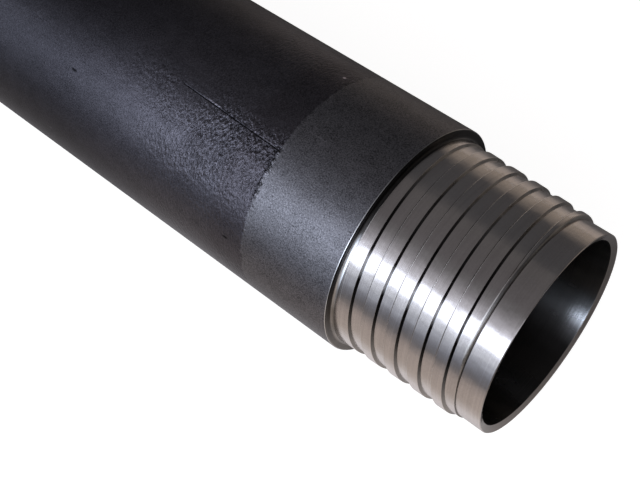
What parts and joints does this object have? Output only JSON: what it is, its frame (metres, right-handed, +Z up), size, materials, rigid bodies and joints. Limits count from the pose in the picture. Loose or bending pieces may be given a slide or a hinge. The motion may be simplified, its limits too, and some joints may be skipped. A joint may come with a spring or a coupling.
{
  "type": "drill pipe",
  "caption": "Steel drill pipe with a plain bore, a shouldered pin with a tapered right-hand thread at one end and a matching threaded box at the other.",
  "frame": {"origin": "on the floor under the middle of the pipe's length", "axes": "+X along the pipe towards the pin, +Z up"},
  "size_m": [1.0588, 0.0886, 0.0889],
  "materials": {
    "pipe_steel": "black mill scale on the tube, a grey satin band beside the shoulder, bright turned steel on the pin and in the box"
  },
  "bodies": {
    "root": {"drill_pipe": "pipe_steel"}
  },
  "joints": []
}
